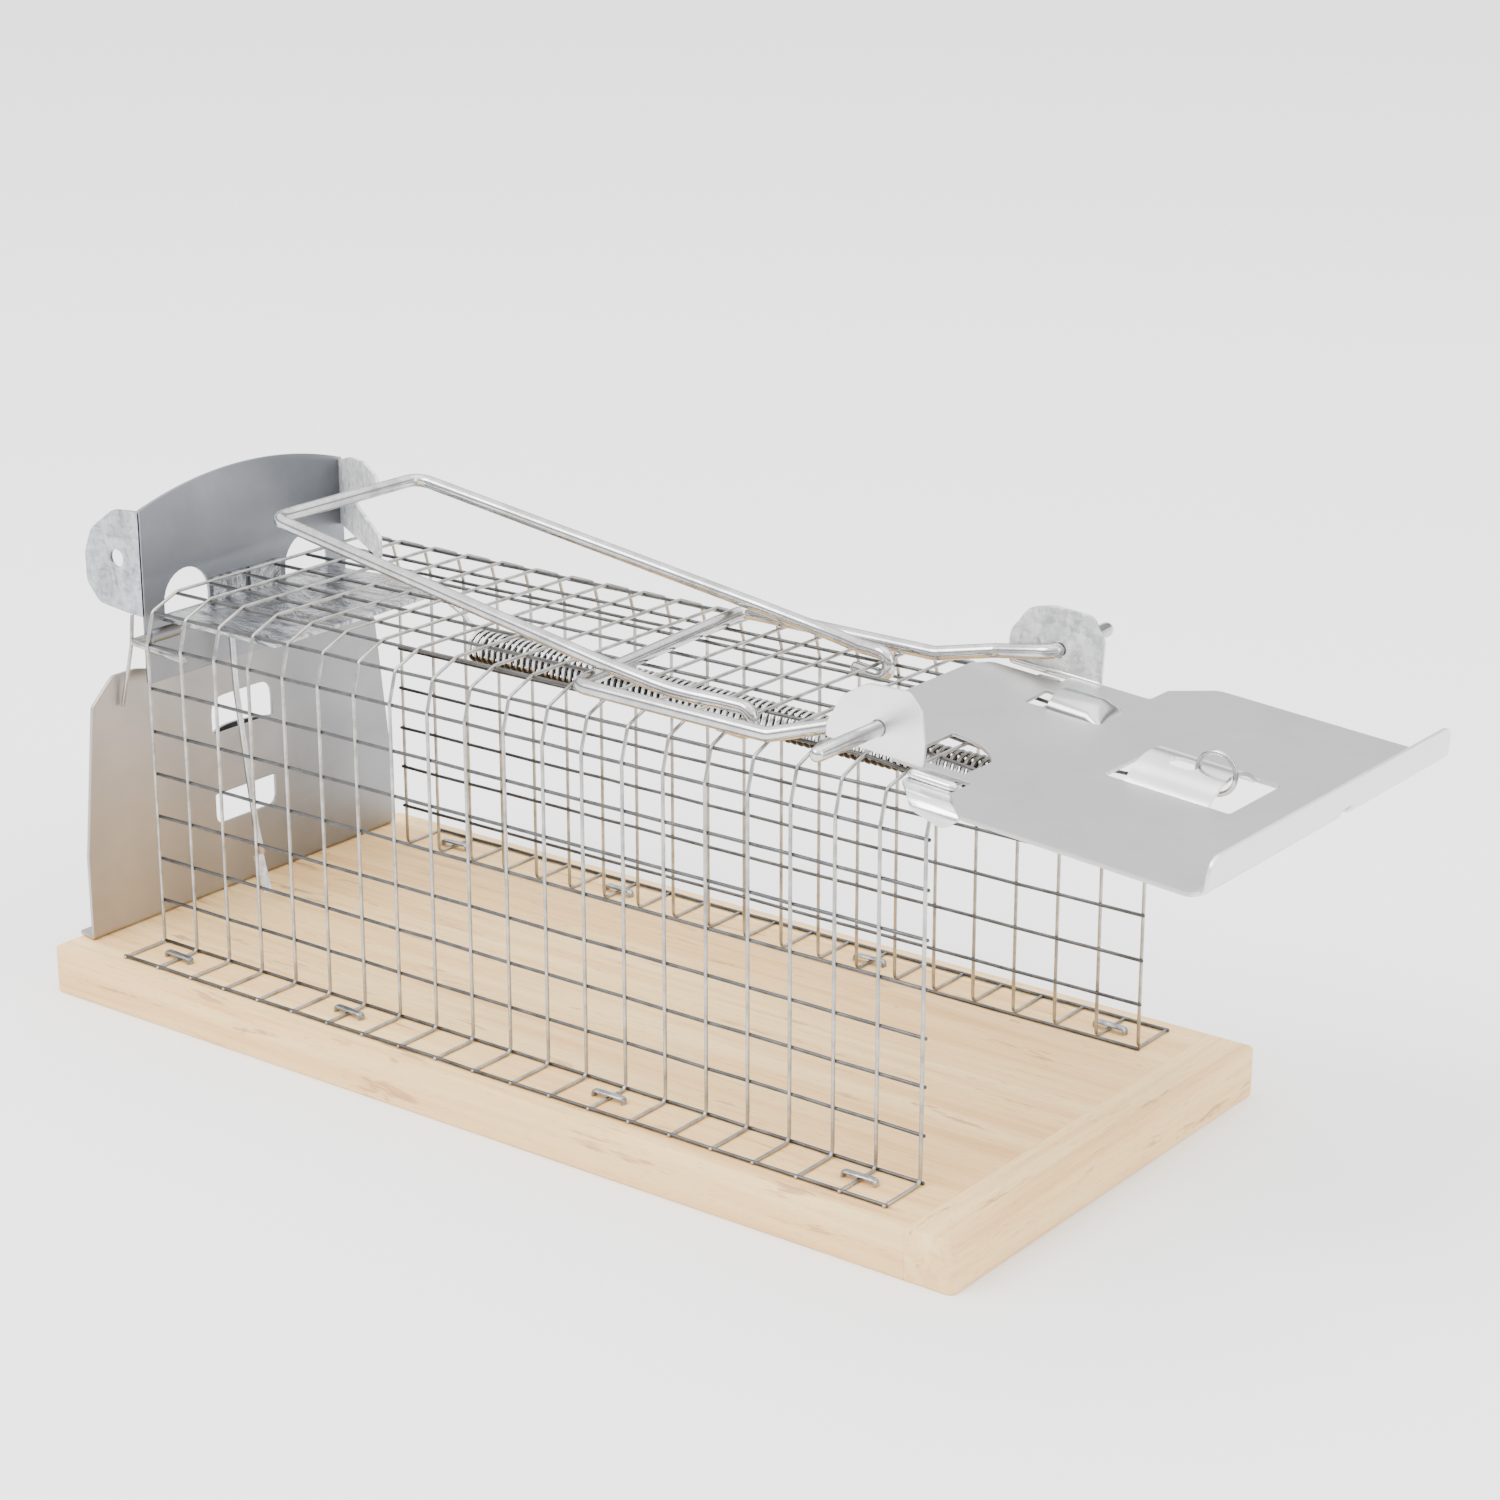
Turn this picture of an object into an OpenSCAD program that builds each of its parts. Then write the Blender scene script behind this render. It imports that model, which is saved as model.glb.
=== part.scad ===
// Live catch trap: a bent wire mesh tunnel on a wooden board, with a spring-driven
// front door held open by a wire lever, and a trigger plate with a bait rod at the back.
// Frame: origin at the centre of the board's underside, +X towards the door, +Z up.

/* [View] */
// Part to draw, or all

/* [Board] */
// Board length along X
board_length = 300; // [250:1:400]
// Board width along Y
board_width = 140; // [120:1:180]
// Board thickness
board_thickness = 13.5; // [10:0.5:20]
// Radius of the board's upright corners
board_corner = 2; // [0.5:0.5:6]

/* [Mesh] */
// Pitch of the hoops along the tunnel
mesh_pitch = 12.7; // [10:0.1:15]
// Number of mesh cells along the tunnel
mesh_cells = 20; // [10:1:24]
// Thickness of the mesh wire
mesh_wire = 0.9; // [0.7:0.05:1.2]
// Distance from the middle to each side sheet
side_y = 49.63; // [40:0.5:60]
// Pitch of the lengthwise wires on the sides
side_pitch = 12.26; // [10:0.1:14]
// Height of the roof above the board
roof_height = 98.85; // [80:0.5:110]
// Distance from the middle to the roof's edge wire
roof_edge_y = 37.8; // [30:0.5:45]
// Distance from the middle to the shoulder wire
shoulder_y = 47.1; // [40:0.5:50]
// Height of the shoulder wire above the board
shoulder_height = 95.25; // [80:0.5:105]
// Reach of the outer flange wire from the middle
flange_y = 64.1; // [55:0.5:68]
// Cells at the front where the roof dips under the door
dip_cells = 2; // [1:1:3]
// Height of the door's hinge wire above the board
hinge_height = 96.05; // [85:0.5:105]

/* [Staples and screws] */
// Staple crown length
staple_length = 9.3; // [6:0.1:14]
// Staple crown width
staple_width = 2.2; // [1:0.1:3]
// Staple wire thickness
staple_thickness = 0.7; // [0.4:0.1:1.2]
// Depth of a staple's legs in the board
staple_depth = 8; // [4:0.5:11]
// Radius of the plate screws' heads
screw_head_radius = 2.6; // [2:0.1:4]

/* [Back plate] */
// Position of the back plate along X
back_x = -144; // [-150:0.5:-138]
// Half width of the back plate near the board
back_half_width = 60.8; // [50:0.2:66]
// Height of the back plate's shoulders above the part's base
back_top = 87.7; // [70:0.5:100]
// Depth of the half pipe in the back plate's window
back_pipe_depth = 4.5; // [3:0.1:6]
// Reach of the foot flange behind the plate
foot_reach = 6.3; // [4:0.1:10]

/* [Trigger] */
// Position of the trigger plate along X
trigger_x = -139; // [-142:0.5:-132]
// Half width of the trigger plate
trigger_half_width = 39.5; // [30:0.5:45]
// Height of the arched top at the middle
trigger_top = 139.4; // [120:0.5:150]
// Radius of the arched top
trigger_arch = 130; // [80:1:200]
// Height of the trigger's pivot
pivot_z = 97.3; // [90:0.1:105]
// Radius of the trigger's pivot wire
pivot_radius = 1; // [0.7:0.05:1.5]

/* [Bails] */
// Radius of the lever's wire
lever_radius = 1.85; // [1.5:0.05:2.5]
// Height of the lever's rear bar
lever_bar_z = 135.15; // [125:0.5:145]
// Position of the lever's rear bar along X
lever_bar_x = -98.2; // [-110:0.5:-80]
// Half width of the lever at its rear bar
lever_half_width = 28.3; // [20:0.1:34]
// Radius of the link's wire
link_radius = 1.9; // [1.5:0.05:2.5]
// Distance from the middle to the link's arms at the ears
link_arm_y = 36.2; // [30:0.1:37]
// Reach of the link's ends from the middle
link_tip_y = 64; // [50:0.5:70]

/* [Door] */
// Sheet thickness of the door and the plates
sheet = 1; // [0.8:0.1:1.5]
// Slope of the set door, nose down
door_slope = 4.7; // [0:0.1:10]
// Height of the door sheet's middle above its hinge
door_offset = 2.05; // [1.5:0.05:3]
// Length of the door from the hinge to the front lip
door_length = 75; // [60:0.5:90]
// Half width of the door
door_half_width = 58; // [50:0.5:65]
// Height of the front lip
lip_height = 10; // [5:0.5:15]
// Distance from the middle to each ear
ear_y = 39; // [34:0.5:44]
// Height of the ears above the hinge
ear_height = 19.4; // [12:0.2:26]
// Half width of the pressed window in the door
window_half_width = 12; // [8:0.5:18]
// Rise of the half pipe over the door's window
bridge_rise = 4.5; // [3:0.1:6]

/* [Spring] */
// Outer radius of the spring's coils
coil_radius = 4.7; // [3:0.1:6]
// Radius of the spring's wire
coil_wire = 0.55; // [0.4:0.05:0.8]
// Pitch of the coils
coil_pitch = 2.05; // [1.6:0.05:3]
// Number of coils
coil_count = 103; // [60:1:120]

/* [Hidden] */
$fn = 64;
tiny = 0.02;
half_wire = mesh_wire / 2;
mesh_end = mesh_pitch * mesh_cells / 2;
mesh_base = board_thickness + half_wire;
side_rows = 7;
roof_z = board_thickness + roof_height;
roof_rows = 6;
roof_pitch = 2 * roof_edge_y / roof_rows;
shoulder_z = board_thickness + shoulder_height;
side_top = mesh_base + side_rows * side_pitch + half_wire;
dip_x = mesh_end - dip_cells * mesh_pitch;
hinge_x = mesh_end;
hinge_z = board_thickness + hinge_height;
dip_slope = atan((roof_z - hinge_z) / (mesh_end - dip_x));
staple_hoops = [1, 6, 13, 19];
staple_y = 56.3;
lever_pivot_x = -mesh_end + 15 * mesh_pitch;
lever_hook_radius = 3.1;
pin_x = 106.4;
pin_z = 119.75;
pin_clearance = 0.08;
bend_swell = 1.04;
window_start = 23.4;
window_end = 56.4;
bridge_start = 28.5;
bridge_end = 50.5;
spring_hook_x = -mesh_end + 5 * mesh_pitch;
spring_start_x = -53;
spring_start_z = 101.7;
spring_slope = 1.15;
zinc = [0.72, 0.73, 0.75];
bright = [0.8, 0.8, 0.82];

// A straight round wire between two points.
module wire_run(a, b, r) {
    d = b - a;
    run = norm(d);
    translate(a)
        rotate([0, acos(d[2] / run), atan2(d[1], d[0])])
            cylinder(h = run, r = r, $fn = 24);
}

// A bent wire through a list of points, with a slightly swollen ball at each bend.
module bent_wire(points, r) {
    last = len(points) - 1;
    for (i = [0 : last - 1])
        wire_run(points[i], points[i + 1], r);
    for (i = [1 : last - 1])
        translate(points[i])
            sphere(r = r * bend_swell, $fn = 24);
}

// Outline of a rectangle with rounded corners, centred.
module rounded_rect(w, h, r) {
    square([w - 2 * r, h], center = true);
    square([w, h - 2 * r], center = true);
    for (sx = [-1, 1])
        for (sy = [-1, 1])
            translate([sx * (w / 2 - r), sy * (h / 2 - r)])
                circle(r = r);
}

// A tube sector used as a pressed half pipe: chord 2 * w, depth d, along X.
module half_pipe(w, d, run) {
    big = (w * w + d * d) / (2 * d);
    rotate([90, 0, 90])
        linear_extrude(height = run)
            intersection() {
                translate([0, big - d])
                    difference() {
                        circle(r = big + sheet / 2, $fn = 128);
                        circle(r = big - sheet / 2, $fn = 128);
                    }
                translate([-w - sheet, -d - sheet])
                    square([2 * (w + sheet), d + sheet]);
            }
}

module base_board() {
    color([0.88, 0.78, 0.62])
        linear_extrude(height = board_thickness)
            rounded_rect(board_length, board_width, board_corner);
}

// Flat side lattice of the tunnel, in its own plane.
module side_lattice() {
    for (i = [0 : mesh_cells])
        translate([-mesh_end + i * mesh_pitch - half_wire, board_thickness])
            square([mesh_wire, side_top - board_thickness]);
    for (j = [0 : side_rows])
        translate([-mesh_end - half_wire, mesh_base + j * side_pitch - half_wire])
            square([2 * mesh_end + mesh_wire, mesh_wire]);
}

module mesh_near_side() {
    color(bright)
        translate([0, -side_y + half_wire, 0])
            rotate([90, 0, 0])
                linear_extrude(height = mesh_wire)
                    side_lattice();
}

module mesh_far_side() {
    color(bright)
        mirror([0, 1, 0])
            mesh_near_side();
}

module mesh_roof() {
    color(bright)
        translate([0, 0, roof_z - half_wire])
            linear_extrude(height = mesh_wire) {
                for (i = [0 : mesh_cells - dip_cells])
                    translate([-mesh_end + i * mesh_pitch - half_wire, -roof_edge_y - half_wire])
                        square([mesh_wire, 2 * roof_edge_y + mesh_wire]);
                for (j = [0 : roof_rows])
                    translate([-mesh_end - half_wire, -roof_edge_y + j * roof_pitch - half_wire])
                        square([dip_x + mesh_end + mesh_wire, mesh_wire]);
            }
}

// The last cells of the roof slope down to the hoop that the door hinges on.
module mesh_roof_front() {
    run = (mesh_end - dip_x) / cos(dip_slope);
    color(bright)
        translate([dip_x, 0, roof_z])
            rotate([0, dip_slope, 0])
                translate([0, 0, -half_wire])
                    linear_extrude(height = mesh_wire) {
                        for (i = [1 : dip_cells])
                            translate([run * i / dip_cells - half_wire, -roof_edge_y - half_wire])
                                square([mesh_wire, 2 * roof_edge_y + mesh_wire]);
                        for (j = [0 : roof_rows])
                            translate([half_wire + 2 * tiny, -roof_edge_y + j * roof_pitch - half_wire])
                                square([run - half_wire, mesh_wire]);
                    }
}

// One hoop's bend from the side to the roof, as a strip in the YZ plane.
module shoulder_strip(top_z) {
    edge_y = -roof_edge_y - half_wire - tiny;
    polygon([[-side_y - half_wire, side_top + tiny], [-shoulder_y - half_wire, shoulder_z],
             [-shoulder_y, shoulder_z + half_wire], [edge_y, top_z + half_wire],
             [edge_y, top_z - half_wire], [-shoulder_y + half_wire, shoulder_z - half_wire],
             [-side_y + half_wire, side_top + tiny]]);
}

module mesh_near_shoulder() {
    dip_step = (roof_z - hinge_z) / dip_cells;
    color(bright) {
        for (i = [0 : mesh_cells])
            translate([-mesh_end + i * mesh_pitch - half_wire, 0, 0])
                rotate([90, 0, 90])
                    linear_extrude(height = mesh_wire)
                        shoulder_strip(roof_z - max(0, i - mesh_cells + dip_cells) * dip_step);
        translate([-mesh_end - half_wire, -shoulder_y - half_wire, shoulder_z - half_wire])
            cube([2 * mesh_end + mesh_wire, mesh_wire, mesh_wire]);
    }
}

module mesh_far_shoulder() {
    color(bright)
        mirror([0, 1, 0])
            mesh_near_shoulder();
}

module mesh_near_flange() {
    color(bright)
        translate([0, 0, board_thickness])
            linear_extrude(height = mesh_wire) {
                for (i = [0 : mesh_cells])
                    translate([-mesh_end + i * mesh_pitch - half_wire, -flange_y - half_wire])
                        square([mesh_wire, flange_y - side_y - tiny]);
                translate([-mesh_end - half_wire, -flange_y - half_wire])
                    square([2 * mesh_end + mesh_wire, mesh_wire]);
            }
}

module mesh_far_flange() {
    color(bright)
        mirror([0, 1, 0])
            mesh_near_flange();
}

// A staple's side view: crown over the wire, two legs in the wood.
module staple_profile() {
    top = board_thickness + mesh_wire;
    leg_step = staple_length - staple_thickness;
    translate([-staple_length / 2, top])
        square([staple_length, staple_thickness]);
    for (sx = [0, 1])
        translate([-staple_length / 2 + sx * leg_step, board_thickness - staple_depth])
            square([staple_thickness, staple_depth + mesh_wire + staple_thickness]);
}

module flange_staples() {
    color(zinc)
        for (i = staple_hoops)
            for (sy = [-1, 1])
                translate([-mesh_end + i * mesh_pitch, sy * staple_y + staple_width / 2, 0])
                    rotate([90, 0, 0])
                        linear_extrude(height = staple_width)
                            staple_profile();
}

// Outline of the back plate, seen along X.
module back_outline() {
    top_half = 39.6;
    dip_z = 84;
    dip_half = 24;
    polygon([[-back_half_width, board_thickness], [-back_half_width, 38], [-56, 80.5], [-48, back_top],
             [-top_half, back_top], [-dip_half, dip_z], [dip_half, dip_z], [top_half, back_top],
             [48, back_top], [56, 80.5], [back_half_width, 38], [back_half_width, board_thickness]]);
}

module back_plate() {
    window_low = 34;
    window_high = 72;
    pipe_low = 43;
    pipe_run = 18;
    foot_half = back_half_width - 1.5;
    color(zinc) {
        translate([back_x - sheet / 2, 0, 0])
            rotate([90, 0, 90])
                linear_extrude(height = sheet)
                    difference() {
                        back_outline();
                        translate([-window_half_width, window_low])
                            square([2 * window_half_width, window_high - window_low]);
                    }
        translate([back_x, 0, pipe_low])
            rotate([0, -90, 180])
                half_pipe(window_half_width, back_pipe_depth, pipe_run);
        translate([back_x - foot_reach, -foot_half, board_thickness])
            cube([foot_reach, 2 * foot_half, sheet]);
    }
}

module plate_screws() {
    shank = 1.4;
    color(zinc)
        for (sy = [-1, 1])
            translate([back_x - foot_reach / 2 - 0.2, sy * 40, 0]) {
                translate([0, 0, board_thickness - 8])
                    cylinder(h = 8 + sheet + tiny, r = shank, $fn = 32);
                translate([0, 0, board_thickness + sheet])
                    cylinder(h = 1.2, r1 = screw_head_radius, r2 = screw_head_radius * 0.7, $fn = 32);
            }
}

// The trigger's pivot wire: a bar behind the tunnel, with legs along the insides of the mesh sides.
module trigger_pivot_wire() {
    leg_y = side_y - half_wire - pivot_radius - tiny;
    leg_end = -115;
    bend_y = 44;
    color(bright)
        bent_wire([[leg_end, -leg_y, pivot_z], [trigger_x, -bend_y, pivot_z],
                   [trigger_x, bend_y, pivot_z], [leg_end, leg_y, pivot_z]], pivot_radius);
}

module tie_wire() {
    tie_radius = 0.6;
    color(bright)
        bent_wire([[trigger_x - 1.47, -42.4, pivot_z + 7], [trigger_x - 1.47, -43.2, pivot_z - 1],
                   [trigger_x - 2.3, -44.2, pivot_z - 8], [trigger_x - 3.4, -46, 79]], tie_radius);
}

// Outline of the trigger plate, seen along X.
module trigger_outline() {
    apron_z = 84;
    low = pivot_z;
    window_y = 23.5;
    window_r = 8.5;
    window_z = 105.5;
    difference() {
        intersection() {
            translate([-trigger_half_width, apron_z])
                square([2 * trigger_half_width, trigger_top - apron_z]);
            translate([0, trigger_top - trigger_arch])
                circle(r = trigger_arch, $fn = 256);
        }
        for (sy = [-1, 1]) {
            translate([sy * window_y, window_z])
                circle(r = window_r);
            translate([sy * window_y - window_r, low + 5])
                square([2 * window_r, window_z - low - 5]);
        }
    }
}

// Outline of the rear ear, seen along Y.
module rear_ear_outline() {
    difference() {
        polygon([[-139.5, 133], [-150, 130.5], [-157.5, 123.5], [-161.3, 115.5], [-161.3, 109],
                 [-156, 104.5], [-144, 103], [-139.5, 103]]);
        translate([-148.6, 118.45])
            circle(r = 2.5);
    }
}

// Outline of the hook ear in its own plane: distance along the ear, height.
module hook_outline() {
    polygon([[0.8, 132.9], [15.7, 136.9], [30, 138.6], [44.2, 137.6], [45.4, 136.4], [45.2, 134.2],
             [16.2, 124.2], [45.6, 120.7], [45.4, 115], [43.5, 113.6], [0.8, 113.6]]);
}

module trigger_plate() {
    barrel = pivot_radius + 1;
    color(zinc)
        difference() {
            union() {
                translate([trigger_x - sheet / 2, 0, 0])
                    rotate([90, 0, 90])
                        linear_extrude(height = sheet)
                            trigger_outline();
                for (y0 = [-38, -5, 28])
                    translate([trigger_x, y0 + 10, pivot_z])
                        rotate([90, 0, 0])
                            cylinder(h = 10, r = barrel);
            }
            translate([trigger_x, 60, pivot_z])
                rotate([90, 0, 0])
                    cylinder(h = 120, r = pivot_radius + pin_clearance);
        }
}

// Ear folded back from the trigger plate's near edge, with the hole to hang the trap by.
module rear_ear() {
    color(zinc)
        translate([-tiny, -trigger_half_width + sheet, 0])
            rotate([90, 0, 0])
                linear_extrude(height = sheet)
                    rear_ear_outline();
}

// Ear folded forward from the trigger plate's far edge; its hook catches the lever's bar.
module hook_ear() {
    hook_angle = -32.3;
    color(zinc)
        translate([trigger_x + tiny, trigger_half_width - sheet / 2, 0])
            rotate([0, 0, hook_angle])
                translate([0, sheet / 2, 0])
                    rotate([90, 0, 0])
                        linear_extrude(height = sheet)
                            hook_outline();
}

// Horizontal leaf under the roof, fixed to the trigger plate.
module trigger_leaf() {
    leaf_z = 101.2;
    leaf_x = trigger_x + sheet / 2 + tiny;
    reach = 44;
    color(zinc) {
        translate([leaf_x, -34, leaf_z])
            cube([reach, 68, sheet]);
        for (y0 = [-6, 8])
            translate([leaf_x, y0 - 8, leaf_z])
                cube([sheet, 12, 8]);
    }
}

module bait_rod() {
    rod_y = -11.6;
    color(bright)
        bent_wire([[-134.6, rod_y, 101.18], [-133.5, rod_y, 76.5], [-128.3, rod_y, 36.5],
                   [-126.4, rod_y, 29.5]], 0.9);
}

module bait_clip() {
    color(zinc)
        translate([-126.6, -11.6, 28.5])
            rotate([0, 165, 0])
                translate([0.95, -1.6, 0])
                    cube([0.8, 3.2, 11]);
}

// Points of one lever hook, from under the roof hoop round to its top.
function hook_points(y) = concat(
    [[56.5, y, roof_z - lever_hook_radius + 0.6]],
    [for (t = [-90 : 45 : 90])
        [lever_pivot_x + lever_hook_radius * cos(t), y, roof_z + lever_hook_radius * sin(t)]],
    [[54, y, roof_z + lever_hook_radius + 0.3]]);

// The same points in reverse order.
function flipped(list) = [for (i = [len(list) - 1 : -1 : 0]) list[i]];

// The lever: rear bar, two arms, and hooks round a roof hoop.
module lever_bail() {
    near_hook_y = -35;
    far_hook_y = 22.2;
    near_arm = [[44, -38.2, 116.3], [lever_bar_x, -lever_half_width, lever_bar_z]];
    far_arm = [[lever_bar_x, lever_half_width, lever_bar_z], [46, 26.4, 116]];
    color(bright)
        bent_wire(concat(hook_points(near_hook_y), near_arm, far_arm, flipped(hook_points(far_hook_y))),
                  lever_radius);
}

// The link: a skewed crossbar under the lever, two arms, and ends through the door's ears.
module link_bail() {
    bar_z = roof_z + half_wire + link_radius + 0.3;
    link_far_y = 61.3;
    color(bright)
        bent_wire([[pin_x, -link_tip_y + link_radius, pin_z], [pin_x, -link_arm_y, pin_z],
                   [90, -link_arm_y, 116.2], [77, -43, 113.2], [19.5, -44.5, bar_z],
                   [13, 32, bar_z], [74.6, 30.6, bar_z], [89, link_arm_y, 117],
                   [pin_x, link_arm_y, pin_z], [pin_x, link_far_y, pin_z]], link_radius);
}

// The door's own frame: origin on the hinge, X along the sheet.
module door_frame() {
    translate([hinge_x, 0, hinge_z])
        rotate([0, door_slope, 0])
            children();
}

// Outline of the door's sheet.
module door_outline() {
    tongue_end = -40.5;
    tongue_half = 33.4;
    slot_end = -17;
    step_u = 5;
    polygon([[tongue_end, -28.5], [-37, -tongue_half], [slot_end, -tongue_half],
             [slot_end, -ear_y - sheet / 2], [step_u, -ear_y - sheet / 2], [step_u, -48.2],
             [14, -door_half_width], [door_length - 4, -door_half_width],
             [door_length, -door_half_width + 4], [door_length, door_half_width - 1],
             [door_length - 1, door_half_width], [14, door_half_width], [step_u, 48.2],
             [step_u, ear_y + sheet / 2], [slot_end, ear_y + sheet / 2], [slot_end, tongue_half],
             [-37, tongue_half], [tongue_end, 28.5]]);
}

// D-shaped hole beside the near ear.
module d_hole() {
    intersection() {
        translate([-16, -36])
            square([17, 17]);
        translate([-16, -36])
            circle(r = 20.5);
    }
}

module door_plate() {
    far_notch = [[-17, 19], [-16, 27], [-8, 27], [-9, 21]];
    color(zinc)
        door_frame() {
            translate([0, 0, door_offset - sheet / 2])
                linear_extrude(height = sheet)
                    difference() {
                        door_outline();
                        translate([window_start, -window_half_width])
                            square([window_end - window_start, 2 * window_half_width]);
                        d_hole();
                        polygon(far_notch);
                        translate([door_length - 1.5, 5])
                            square([3, 6]);
                    }
            translate([door_length, 0, door_offset - sheet / 2])
                rotate([90, 0, 90])
                    linear_extrude(height = sheet)
                        difference() {
                            union() {
                                translate([-54.5, 0])
                                    square([114, lip_height - 6]);
                                translate([-48.5, 0])
                                    square([102, lip_height]);
                                translate([-48.5, lip_height - 6])
                                    circle(r = 6);
                                translate([53.5, lip_height - 6])
                                    circle(r = 6);
                            }
                            translate([-60, -10])
                                square([125, 10]);
                            translate([5, -1])
                                square([6, 4.5]);
                        }
        }
}

// Outline of a door ear: distance from the hinge, height above the sheet.
module ear_outline() {
    pin_u = -21.4;
    pin_w = 8.5;
    low = door_offset + sheet / 2 + tiny;
    crown_r = 13.5;
    difference() {
        union() {
            intersection() {
                translate([-22.3, ear_height - crown_r])
                    circle(r = crown_r);
                translate([-36, low])
                    square([27.6, ear_height]);
            }
            polygon([[-36, low], [-35.8, ear_height - crown_r], [-22.3, ear_height], [-14.5, ear_height - 1],
                     [-10, ear_height - 6.5], [-8.4, ear_height - 13], [-8.4, low]]);
        }
        translate([pin_u, pin_w])
            circle(r = link_radius + pin_clearance);
    }
}

module door_ears() {
    color(zinc)
        door_frame()
            for (sy = [-1, 1])
                translate([0, sy * ear_y + sheet / 2, 0])
                    rotate([90, 0, 0])
                        linear_extrude(height = sheet)
                            ear_outline();
}

// Two rolled knuckles under the sheet, round the front hoop's top wire.
module door_knuckles() {
    bore = 1;
    outer = door_offset - sheet / 2 - tiny;
    color(zinc)
        door_frame()
            for (y0 = [-33, 27])
                translate([0, y0 + 6, 0])
                    rotate([90, 0, 0])
                        difference() {
                            cylinder(h = 6, r = outer);
                            translate([0, 0, -1])
                                cylinder(h = 8, r = bore);
                        }
}

// Pressed half pipe over the door's window; the spring's ring hooks on its front edge.
module door_bridge() {
    slot_start = 37;
    slot_end = 40.2;
    slot_y = -2;
    slot_radius = 2.4;
    color(zinc)
        door_frame()
            difference() {
                translate([bridge_start, 0, door_offset])
                    mirror([0, 0, 1])
                        half_pipe(window_half_width - sheet, bridge_rise, bridge_end - bridge_start);
                for (x0 = [slot_start, slot_end])
                    translate([x0, slot_y, 0])
                        cylinder(h = 12, r = slot_radius, $fn = 32);
                translate([slot_start, slot_y - slot_radius, 0])
                    cube([slot_end - slot_start, 2 * slot_radius, 12]);
            }
}

// The tension spring: coils along a sloping axis, a hook over a roof hoop, and a front lead.
module door_spring() {
    mid = coil_radius - coil_wire;
    hook_y = 3;
    lead_radius = coil_wire - 0.05;
    spring_run = coil_count * coil_pitch;
    front_x = spring_start_x + spring_run * cos(spring_slope);
    front_z = spring_start_z - spring_run * sin(spring_slope) + mid;
    color(bright) {
        translate([spring_start_x, 0, spring_start_z])
            rotate([0, 90 + spring_slope, 0])
                rotate_extrude() {
                    for (i = [0 : coil_count])
                        translate([mid, i * coil_pitch])
                            circle(r = coil_wire, $fn = 16);
                    translate([mid - 0.15, 0])
                        square([0.3, spring_run]);
                }
        bent_wire([[spring_start_x + 0.3, 0, spring_start_z + mid - 0.2],
                   [-58, hook_y / 2, spring_start_z + 6.6],
                   [spring_hook_x - 1.6, hook_y, roof_z - 1.7], [spring_hook_x - 1.4, hook_y, roof_z + 0.9],
                   [spring_hook_x, hook_y, roof_z + 1.5]], lead_radius);
        bent_wire([[front_x - 0.3, 0, front_z - 0.2], [front_x + 5, -0.5, front_z + 1.2],
                   [front_x + 13.8, -1.2, front_z + 4]], lead_radius);
    }
}

// Ring at the spring's front end, through the bridge's slot and round its front edge.
module spring_ring() {
    ring_r = 5;
    color(bright)
        door_frame()
            translate([46.4, -1.2, 6.5])
                rotate([90, 0, 0])
                    rotate([0, 0, -90])
                        rotate_extrude(angle = 300)
                            translate([ring_r, 0])
                                circle(r = 0.65, $fn = 16);
}

base_board();
mesh_near_side();
mesh_far_side();
mesh_roof();
mesh_roof_front();
mesh_near_shoulder();
mesh_far_shoulder();
mesh_near_flange();
mesh_far_flange();
flange_staples();
back_plate();
plate_screws();
trigger_pivot_wire();
tie_wire();
trigger_plate();
trigger_leaf();
bait_rod();
bait_clip();
rear_ear();
hook_ear();
lever_bail();
link_bail();
door_plate();
door_ears();
door_knuckles();
door_bridge();
door_spring();
spring_ring();
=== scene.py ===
import math
import random

import bmesh
import bpy
from mathutils import Matrix, Vector


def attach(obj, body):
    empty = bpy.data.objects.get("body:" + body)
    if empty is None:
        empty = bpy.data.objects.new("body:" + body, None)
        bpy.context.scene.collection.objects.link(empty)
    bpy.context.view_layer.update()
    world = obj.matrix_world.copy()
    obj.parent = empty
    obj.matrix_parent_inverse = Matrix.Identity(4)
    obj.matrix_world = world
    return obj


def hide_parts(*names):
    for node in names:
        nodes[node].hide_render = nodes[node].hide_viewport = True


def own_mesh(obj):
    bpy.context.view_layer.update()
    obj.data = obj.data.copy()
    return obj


MM = 0.001
rng = random.Random(7)

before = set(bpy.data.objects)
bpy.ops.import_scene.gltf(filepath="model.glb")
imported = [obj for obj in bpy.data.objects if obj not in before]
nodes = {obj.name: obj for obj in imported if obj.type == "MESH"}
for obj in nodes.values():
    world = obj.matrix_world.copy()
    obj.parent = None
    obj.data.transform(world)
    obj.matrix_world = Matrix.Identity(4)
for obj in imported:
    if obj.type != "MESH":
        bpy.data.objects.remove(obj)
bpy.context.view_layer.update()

# ---------------------------------------------------------------- dimensions, mm
BOARD = (300.0, 140.0, 13.5)
PITCH, CELLS = 12.7, 20
MESH_END = PITCH * CELLS / 2
MESH_R = 0.48
SIDE_Y, SIDE_PITCH, SIDE_ROWS = 49.63, 12.26, 7
SHOULDER = (47.1, 108.75)
ROOF_EDGE, ROOF_Z, HINGE_Z = 37.8, 112.35, 109.55
FLANGE_Y = 64.1
MESH_BASE = 13.95
DIP_X = MESH_END - 2 * PITCH
BACK_X, TRIGGER_X, PIVOT_Z = -144.0, -139.0, 97.3
LEVER_R, LINK_R = 1.85, 1.9
DOOR_SLOPE = math.radians(4.7)
SPRING_START, SPRING_SLOPE = (-53.0, 101.7), math.radians(1.15)
SPRING_FALL = math.tan(SPRING_SLOPE)
SPRING_LEVEL = SPRING_START[1] + SPRING_START[0] * SPRING_FALL
SHEET = 1.0


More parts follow.
